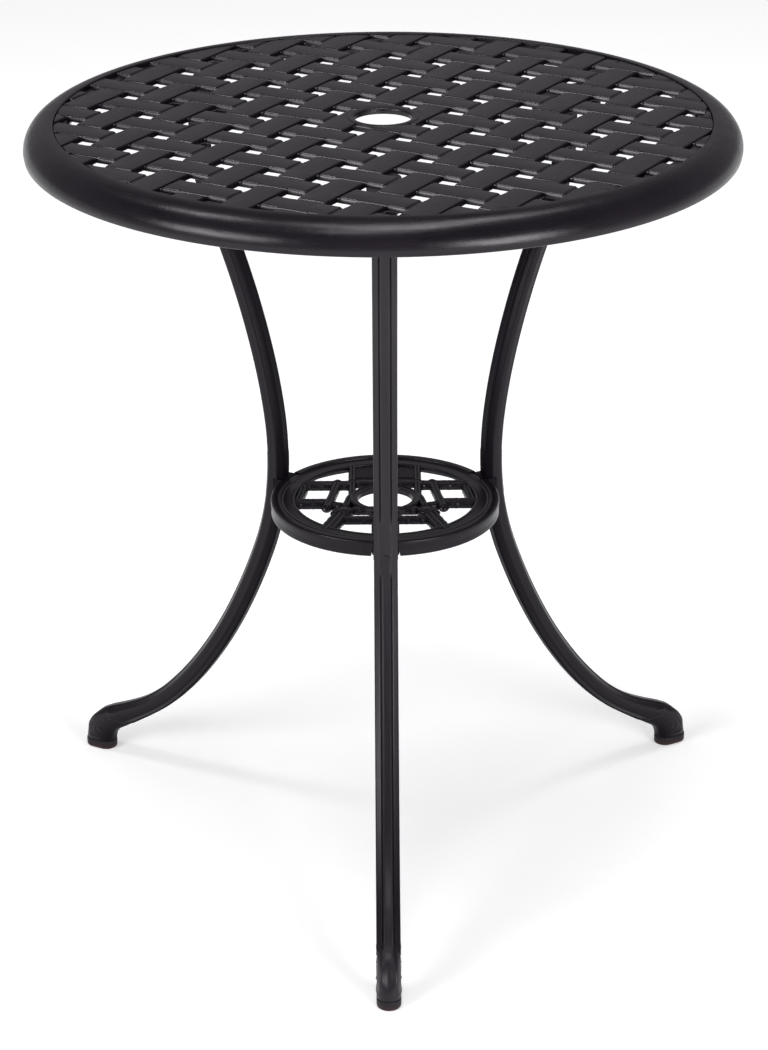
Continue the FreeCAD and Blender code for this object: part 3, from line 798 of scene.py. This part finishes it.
def rib(sideways):
    """Height of the rib this far from the leg's middle, with its line and the groove beside it."""
    b = abs(sideways)
    crown = RIB_CROWN * (1 - (b / RIB_HALF) ** 2)
    crown += RIB_BEAD * math.exp(-((b - RIB_HALF + RIB_BEAD_IN) / RIB_LINE) ** 2)
    side = 1 - ease(*(RIB_HALF + edge for edge in RIB_SIDE), b)
    raised = (RIB_HEIGHT - RIB_CROWN + crown) * side
    return raised - RIB_GROOVE * math.exp(-((b - RIB_HALF - RIB_GROOVE_OUT) / RIB_LINE) ** 2)


def swept(start, start_way, end, end_way, pull, steps):
    """A smooth curve between two points that leaves and arrives along two directions."""
    a, b = start + start_way * pull, end - end_way * pull
    points = []
    for k in range(steps + 1):
        t = k / steps
        u = 1 - t
        points.append(start * u ** 3 + a * (3 * t * u ** 2) + b * (3 * t * t * u) + end * t ** 3)
    return points


def foot_sides(top_start, bottom_start, way):
    """The foot's top and bottom lines in side view, as (radius, up), from stem to glide."""
    centre = Vector((TOE_RADIUS - TOE_OVERHANG - TOE_ARC, GLIDE_HEIGHT))
    crest = math.radians(CREST_ANGLE)
    shoulder = centre + Vector((math.cos(crest), math.sin(crest))) * TOE_ARC
    crest_way = Vector((math.sin(crest), -math.cos(crest)))
    top = swept(top_start, way, shoulder, crest_way, pull=22.0, steps=16)
    top += arc_between(shoulder, centre + Vector((TOE_ARC, 0)), centre, 16)[1:]
    heel, end = Vector((HEEL_RADIUS, GLIDE_HEIGHT)), Vector(ARCH_END)
    under_way = (end - Vector(UNDERSIDE_ROOT)).normalized()
    bottom = swept(bottom_start, way, end, under_way, pull=14.0, steps=14)
    bottom += swept(end, under_way, heel, Vector(HEEL_WAY), pull=7.0, steps=10)[1:]
    return top, bottom


def along_line(line, share):
    """The point this share of the way along a chain of points."""
    lengths = [(b - a).length for a, b in zip(line, line[1:])]
    left = share * sum(lengths)
    for a, b, length in zip(line, line[1:], lengths):
        if left <= length:
            return a.lerp(b, left / length)
        left -= length
    return line[-1]


def stem_ring(flat, strength):
    """The section's points as (outward, sideways), its ribs raised by a strength from 0 to 1."""
    ring = []
    for n, b in flat:
        face = 1 if n > 0 else -1
        on_face = ease(FLANK_HALF, LEG_HALF_DEPTH - RIB_HEIGHT, abs(n)) * face
        plain = PLAIN_HEIGHT * RIB_HEIGHT * math.exp(-(b / PLAIN_HALF) ** 4)
        ring.append((n + on_face * (rib(b) * strength + plain * (1 - strength)), b))
    return ring


def toe_point(n, b, half_width):
    """Where a stem point lies on the toe's full section, as (share of the depth, sideways)."""
    a = math.atan2(b / LEG_HALF_WIDTH, n / LEG_HALF_DEPTH)
    power = 2 / FOOT_FULLNESS
    full_n = math.copysign(abs(math.cos(a)) ** power, math.cos(a))
    full_b = math.copysign(abs(math.sin(a)) ** power, math.sin(a))
    return full_n, full_b * half_width


def gap_to_line(place, points):
    """Least distance from a place in side view to a chain of points."""
    gaps = []
    for start, end in zip(points, points[1:]):
        a, run = Vector(start), Vector(end) - Vector(start)
        t = min(1.0, max(0.0, (place - a).dot(run) / run.length_squared))
        gaps.append((place - a - run * t).length)
    return min(gaps)


def flank_relief(place):
    """How far the foot's flank stands out at a place in side view."""
    relief = 0.0
    for height, spread, points in FLANK_LINES:
        relief += height * math.exp(-(gap_to_line(place, points) / spread) ** 2)
    return relief


def foot_ring(flat, share, high, low):
    """The foot's points at a share of its length, and each one's depth, for the grain."""
    middle, half = (high + low) / 2, (high - low) / 2
    toe_form = ease(*TOE_SPAN, share)
    lobes = ease(*LOBES_START, share) * (1 - ease(*LOBES_END, share))
    widening = 1 - ease(*NARROWING, share) + ease(*WIDENING, share)
    half_width = FOOT_HALF_WIDTH + (GLIDE_HALF_WIDTH - FOOT_HALF_WIDTH) * widening
    ring, depths = [], []
    for n, b in stem_ring(flat, 1 - ease(*RIB_END, share)):
        full_n, full_b = toe_point(n, b, half_width)
        n = n / LEG_HALF_DEPTH
        n += (full_n - n) * toe_form
        b += (full_b - b) * toe_form
        swell = LOBE_SWELL * math.exp(-((abs(b) - LOBE_AT) / LOBE_SPREAD) ** 2)
        swell -= LOBE_GROOVE * math.exp(-(b / GROOVE_SPREAD) ** 2)
        reach = half.length * n + lobes * swell * ease(*LOBE_FACE, n)
        side = middle + half.normalized() * reach
        on_flank = toe_form * ease(*FLANK_EDGE, abs(b) / half_width)
        if on_flank > 0:
            b += math.copysign(flank_relief(side) * on_flank, b)
        ring.append(Vector((side.x, b, up_to_z(side.y))))
        depths.append(n * LEG_HALF_DEPTH)
    return ring, depths


def leg_skin():
    """The stem, ribbed on both faces, running out into the scroll foot, as one skin."""
    flat = stem_section()
    start = leg_start()
    neck = Vector((start.x, 0, up_to_z(FLANGE_UP + FLANGE_THICKNESS / 2)))
    trail = follow(start, UPPER_MOVES + LOWER_MOVES, LEG_STEP)
    trail = [(p, h) for p, h in trail if p.x < FOOT_START or p.z > up_to_z(STEM_ABOVE)]
    trail.insert(0, (neck, 0.0))
    rings, grain = [], []
    travelled = 0.0
    before = trail[0][0]
    for point, heading in trail:
        travelled += (point - before).length
        before = point
        up = point.z - FLOOR_Z
        gap_low, gap_high = RIB_GAP
        below = 1 - ease(gap_low - RIB_FADE, gap_low, up)
        strength = max(below, ease(gap_high, gap_high + RIB_FADE, up))
        ring = []
        for n, b in stem_ring(flat, strength):
            ring.append(point + outward(heading) * n + Vector((0, b, 0)))
            grain.append(Vector((travelled, b, n)))
        rings.append(ring)
    out = outward(heading) * LEG_HALF_DEPTH
    way = Vector((direction(heading).x, direction(heading).z))
    end = Vector((point.x, point.z - FLOOR_Z))
    step_out = Vector((out.x, out.z))
    top, bottom = foot_sides(end + step_out, end - step_out, way)
    for k in range(1, FOOT_STEPS + 1):
        share = k / FOOT_STEPS
        ring, depths = foot_ring(flat, share, along_line(top, share), along_line(bottom, share))
        rings.append(ring)
        grain += [Vector((travelled + share * FOOT_LENGTH, p.y, n)) for p, n in zip(ring, depths)]
    return loft(rings, grain=grain)


def leg_islands():
    """One leg casting along +X: flange, ribbed stem, seat for the ring and scroll foot."""
    x = leg_start().x - FLANGE_LENGTH / 2
    flange_top = up_to_z(FLANGE_UP + FLANGE_THICKNESS) - 0.02
    flange = slab(stadium(x, x + FLANGE_LENGTH, FLANGE_WIDTH), up_to_z(FLANGE_UP), flange_top, 1.0)
    outline = rectangle(RING_RADIUS - NOTCH_DEPTH, WAIST_RADIUS, NOTCH_HALF - 0.3, 0.6)
    seat = slab(outline, up_to_z(RING_UP - RING_SKIRT + 1), up_to_z(RING_UP - 1), 0.8)
    return [leg_skin(), flange, seat]


def ring_band_islands():
    """Band, bead and skirt of the brace ring, notched for the legs, with the pads they bolt to."""
    top = up_to_z(RING_UP)
    r = RING_RADIUS
    seat = r - NOTCH_DEPTH
    band = lathe(rounded([
        (RING_INNER_RADIUS, top - RING_BAND, 1.0),
        (seat - 0.4, top - RING_BAND, 0.5),
        (seat - 0.4, top - 1.0, 0.3),
        (r - BEAD_WIDTH - 0.4, top - 1.0, 0.3),
        (r - BEAD_WIDTH - 1.2, top - 1.4, 0.3),
        (r - BEAD_WIDTH - 2.6, top - 1.0, 0.5),
        (r - BEAD_WIDTH - 4.0, top - 1.5, 0.5),
        (RING_INNER_RADIUS + 3.4, top - 1.5, 0.5),
        (RING_INNER_RADIUS + 2.4, top - 1.0, 0.5),
        (RING_INNER_RADIUS, top - 1.2, 0.8),
    ]), 192)
    skirt_outline = rounded([
        (r - RING_WALL, top - RING_SKIRT, 1.2),
        (r - 0.2, top - RING_SKIRT, 1.6),
        (r - 0.6, top - 0.62 * RING_SKIRT, 6.0),
        (r, top - 0.25 * RING_SKIRT, 6.0),
        (r - 0.1, top, 1.5),
        (r - BEAD_WIDTH, top - 0.1, 0.9),
        (r - BEAD_WIDTH - 0.3, top - 1.6, 0.4),
        (r - BEAD_WIDTH - 0.3, top - RING_BAND + 0.3, 0.3),
        (r - RING_WALL, top - RING_BAND + 0.3, 0.2),
    ])

    def half_span(z):
        rise = top - RING_SKIRT + NOTCH_FLARE_HEIGHT - z
        flare = min(1.0, max(0.0, rise / NOTCH_FLARE_HEIGHT))
        gap = NOTCH_HALF + (NOTCH_FLARE_HALF - NOTCH_HALF) * flare
        return math.radians(60) - math.asin(gap / RING_RADIUS)

    islands = [band]
    for azimuth in LEG_AZIMUTHS.values():
        islands.append(lathe_arc(skirt_outline, half_span, azimuth + 60))
        outline = rectangle(seat - PAD_DEPTH, seat, NOTCH_HALF + 0.8)
        islands.append(slab(outline, top - RING_SKIRT, top - 1.2, 0.9).turned(azimuth))
    return islands


def reeded_bar(start, end, width, drop, reeds, nodes):
    """A flat cast bar with rounded reeds along it and raised nodes across it, like split bamboo."""
    high = up_to_z(RING_UP) - drop
    low = high - BAR_THICKNESS
    a, b = Vector((*start, 0)), Vector((*end, 0))
    length = (b - a).length
    along = (b - a) / length
    across = Vector((-along.y, along.x, 0))
    places = [length * (k + 0.5) / nodes for k in range(nodes)]
    points_across = REED_POINTS * reeds
    rings, grain = [], []
    for s, shrink in capped(length, width / 2, BAR_STEP, BAR_END):
        node = sum(math.exp(-((s - at) / NODE_SPREAD) ** 2) for at in places)
        necks = sum(math.exp(-((abs(s - at) - NECK_AWAY) / NECK_SPREAD) ** 2) for at in places)
        half = width / 2 * shrink * (1 + NODE_SWELL * node - NECK_DRAW * necks)
        middle = a + along * s
        ring = []
        for k in range(points_across + 1):
            t = 2 * k / points_across - 1
            reed = abs(math.sin(math.pi * reeds * (t + 1) / 2)) ** REED_FULLNESS
            level = NODE_FILL * node + (1 - NODE_FILL * node) * reed
            z = high - REED_HEIGHT + REED_HEIGHT * level
            near_edge = max(0.0, 1 - half * (1 - abs(t)) / BAR_ROLL)
            ring.append((t * half, z - BAR_ROLL * (1 - math.sqrt(1 - near_edge ** 2))))
        ring += [(half - 0.3, low), (0.3 - half, low)]
        rings.append([middle + across * t + UP * z for t, z in ring])
        grain += [Vector((s, t, z)) for t, z in ring]
    return loft(rings, grain=grain)


def dimpled_pad(x, y, radius, sides=48):
    """A round domed pad with a raised lip, set with a circle of small dimples."""
    high = up_to_z(RING_UP) - PAD_DROP
    rings = []
    for share, drop in PAD_PROFILE:
        ring = []
        for k in range(sides):
            a = math.tau * k / sides
            dimple = DIMPLE_DEPTH / 2 * (1 - math.cos(DIMPLES * a))
            dimple *= math.exp(-((share - 0.5) / DIMPLE_SPREAD) ** 2)
            flat = Vector((x + radius * share * math.cos(a), y + radius * share * math.sin(a)))
            ring.append(Vector((flat.x, flat.y, high - drop - dimple)))
        rings.append(ring)
    return loft(rings)


def relief_plate(span_x, span_y):
    """A plate whose face is a fine basket of raised diamonds."""
    high = up_to_z(RING_UP) - PLATE_DROP
    low = high - BAR_THICKNESS
    (x0, x1), (y0, y1) = span_x, span_y
    cells_x = round((x1 - x0) / PLATE_PITCH * PLATE_CELLS)
    cells_y = round((y1 - y0) / PLATE_PITCH * PLATE_CELLS)
    rings = []
    for i in range(cells_x + 1):
        x = x0 + (x1 - x0) * i / cells_x
        ring = [Vector((x, y0, low))]
        for j in range(cells_y + 1):
            y = y0 + (y1 - y0) * j / cells_y
            rising, falling = math.pi * (x + y) / PLATE_PITCH, math.pi * (x - y) / PLATE_PITCH
            diamond = abs(math.sin(rising) * math.sin(falling)) ** 0.5
            ring.append(Vector((x, y, high - PLATE_RELIEF + PLATE_RELIEF * diamond)))
        ring.append(Vector((x, y1, low)))
        rings.append(ring)
    return loft(rings)


def fretwork_islands():
    """The reeded bars, knobs, pads, hub and patterned plates inside the brace ring."""
    top = up_to_z(RING_UP)
    islands = [lathe(rounded([
        (POLE_HOLE_RADIUS, top - 6.8, 0.8),
        (COLLAR_RADIUS, top - 6.8, 0.8),
        (COLLAR_RADIUS, top - 0.9, 0.9),
        (COLLAR_RADIUS - 1.6, top - 0.2, 0.6),
        (COLLAR_RADIUS - 3.0, top - 1.1, 0.5),
        (POLE_HOLE_RADIUS + 1.6, top - 1.1, 0.5),
        (POLE_HOLE_RADIUS, top - 0.4, 0.8),
    ]), 96)]
    islands += [relief_plate(span_x, span_y) for span_x, span_y in PLATES]
    islands += [reeded_bar(*bar) for bar in MIDDLE_BARS]
    for side in (-1, 1):
        for (x0, y0), (x1, y1), width, drop, reeds, nodes, knobs in SIDE_BARS:
            start, end = Vector((side * x0, y0)), Vector((side * x1, y1))
            islands.append(reeded_bar(start, end, width, drop, reeds, nodes))
            for share in knobs:
                x, y = start.lerp(end, share)
                radius = width / 2 + KNOB_PROUD
                z = top - drop + KNOB_PROUD - KNOB_SQUASH * radius
                islands.append(knob(Vector((x, y, z)), radius))
        islands += [dimpled_pad(side * x, y, radius) for x, y, radius in PADS]
    return islands


def glide_islands():
    """The cap under a foot, flush with the casting, its edge rounded, a shadow line over it."""
    heel = HEEL_RADIUS - TOE_OVERHANG / 2
    outline = stadium(heel, TOE_RADIUS, 2 * GLIDE_HALF_WIDTH)
    body = slab(outline, FLOOR_Z, up_to_z(GLIDE_HEIGHT - 0.5), edge=2.6, steps=8, top_edge=0.9)
    neck_outline = stadium(heel + 1, TOE_RADIUS - 1.2, 2 * GLIDE_HALF_WIDTH - 2)
    neck = slab(neck_outline, up_to_z(GLIDE_HEIGHT - 3.4), up_to_z(GLIDE_HEIGHT + 0.4), edge=0.2)
    return [body, neck]


def build_pieces(coat):
    """The finer skins that stand in place of the castings and the glides."""
    ring = ring_band_islands() + fretwork_islands()
    for name, islands, weld in (("tabletop_rim", rim_islands(), 0.0),
                                ("tabletop_weave", weave_islands(), WELD),
                                ("brace_ring", ring, 0.0)):
        piece(name + "_finish", islands, coat[name], name, weld)
    leg = leg_islands()
    glide = glide_islands()
    for place, azimuth in LEG_AZIMUTHS.items():
        leg_here = [island.turned(azimuth) for island in leg]
        glide_here = [island.turned(azimuth) for island in glide]
        piece("leg_finish_" + place, leg_here, coat["leg"], "leg_" + place)
        piece("glide_finish_" + place, glide_here, coat["glide"], "glide_" + place)


def dress_fasteners(zinc, blackened):
    """The bolts, washers and nuts keep their CAD shape and take a finish."""
    for place in LEG_AZIMUTHS:
        for name, material, slot in (
            ("top_bolts_", zinc, "bolt_steel"),
            ("top_washers_", zinc, "bolt_steel"),
            ("ring_nut_", zinc, "bolt_steel"),
            ("ring_washer_", zinc, "bolt_steel"),
            ("ring_bolt_", blackened, "bolt_black"),
        ):
            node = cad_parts[name + place]
            node.data.materials.clear()
            node.data.materials.append(material)


def seen_directly(n):
    """1 for what the camera sees, straight or in a mirror or through glass, and 0 for light."""
    path = n.add("LightPath").outputs
    mirrored = n.combine("MAXIMUM", path["Is Camera Ray"], path["Is Glossy Ray"])
    return n.combine("MAXIMUM", mirrored, path["Is Transmission Ray"])


def make_floor():
    """A pale seamless floor, lifted to white where it is seen, and clear from below."""
    mesh = bpy.data.meshes.new("floor")
    half, z = FLOOR_HALF, FLOOR_Z * MM
    corners = [(-half, -half, z), (half, -half, z), (half, half, z), (-half, half, z)]
    mesh.from_pydata(corners, [], [(0, 1, 2, 3)])
    n = Nodes(bpy.data.materials.new("floor_white"))
    place = n.add("TexCoord").outputs["Object"]
    cloud = n.noise(place, scale=0.8, detail=2.0)
    n.colours(cloud, (0.0, FLOOR_DARK), (1.0, FLOOR_LIGHT))
    n.give("Roughness", 0.9)
    n.give("Specular IOR Level", 0.0)
    away = n.add("VectorMath", {0: place}, operation="LENGTH").outputs["Value"]
    lift = n.mapped(away, *LIFT_SPAN, *FLOOR_LIFT)
    n.give("Emission Color", (1, 1, 1, 1))
    n.give("Emission Strength", n.combine("MULTIPLY", seen_directly(n), lift))
    below = n.add("NewGeometry").outputs["Backfacing"]
    n.give("Alpha", n.combine("SUBTRACT", 1.0, below))
    mesh.materials.append(n.owner)
    floor = bpy.data.objects.new("floor", mesh)
    bpy.context.scene.collection.objects.link(floor)


def make_world():
    """A plain grey studio, darker overhead, which lights the table and shows in its coat."""
    world = bpy.data.worlds.new("studio")
    bpy.context.scene.world = world
    n = Nodes(world, "Background")
    height = n.add("SeparateXYZ", {0: n.add("TexCoord").outputs["Generated"]}).outputs["Z"]
    n.give("Strength", n.mapped(height, *CEILING_SPAN, WALL, CEILING))
    n.give("Color", (*STUDIO_TINT, 1))


def make_lamp(name, place, size, radiance):
    """A soft box of this brightness (white is 1), turned to a point on the table."""
    lamp = bpy.data.lights.new(name, "AREA")
    lamp.shape = "RECTANGLE"
    lamp.size, lamp.size_y = size
    lamp.energy = radiance * size[0] * size[1] * math.pi
    obj = bpy.data.objects.new(name, lamp)
    obj.location = place
    aim = Vector(LAMP_TARGET) - Vector(place)
    obj.rotation_euler = aim.to_track_quat("-Z", "Y").to_euler()
    bpy.context.scene.collection.objects.link(obj)


def make_camera():
    """The photograph's camera: it looks along +Y, down onto the top."""
    ahead = Vector((
        math.sin(CAMERA_TURN) * math.cos(CAMERA_PITCH),
        math.cos(CAMERA_TURN) * math.cos(CAMERA_PITCH),
        -math.sin(CAMERA_PITCH),
    ))
    right = Vector((math.cos(CAMERA_TURN), -math.sin(CAMERA_TURN), 0))
    above = right.cross(ahead)
    rolled_right = right * math.cos(CAMERA_ROLL) + above * math.sin(CAMERA_ROLL)
    rolled_above = above * math.cos(CAMERA_ROLL) - right * math.sin(CAMERA_ROLL)
    data = bpy.data.cameras.new("camera")
    data.lens = CAMERA_LENS
    data.sensor_width = SENSOR
    camera = bpy.data.objects.new("camera", data)
    turn = Matrix((rolled_right, rolled_above, -ahead)).transposed()
    camera.matrix_world = Matrix.Translation(CAMERA_PLACE) @ turn.to_4x4()
    bpy.context.scene.collection.objects.link(camera)
    bpy.context.scene.camera = camera


def main():
    coat = {name: powder_coat("coat_" + name, *look) for name, look in COATS.items()}
    coat["glide"] = moulded_plastic("glide_black")
    build_pieces(coat)
    zinc = bolt_metal("bolt_zinc", *ZINC, metallic=1.0, rough=0.36)
    blackened = bolt_metal("bolt_blackened", *BLACKENED, metallic=0.0, rough=0.32)
    dress_fasteners(zinc, blackened)
    make_floor()
    make_world()
    for lamp in LAMPS:
        make_lamp(*lamp)
    make_camera()
    bpy.context.scene.view_settings.view_transform = "Standard"


main()
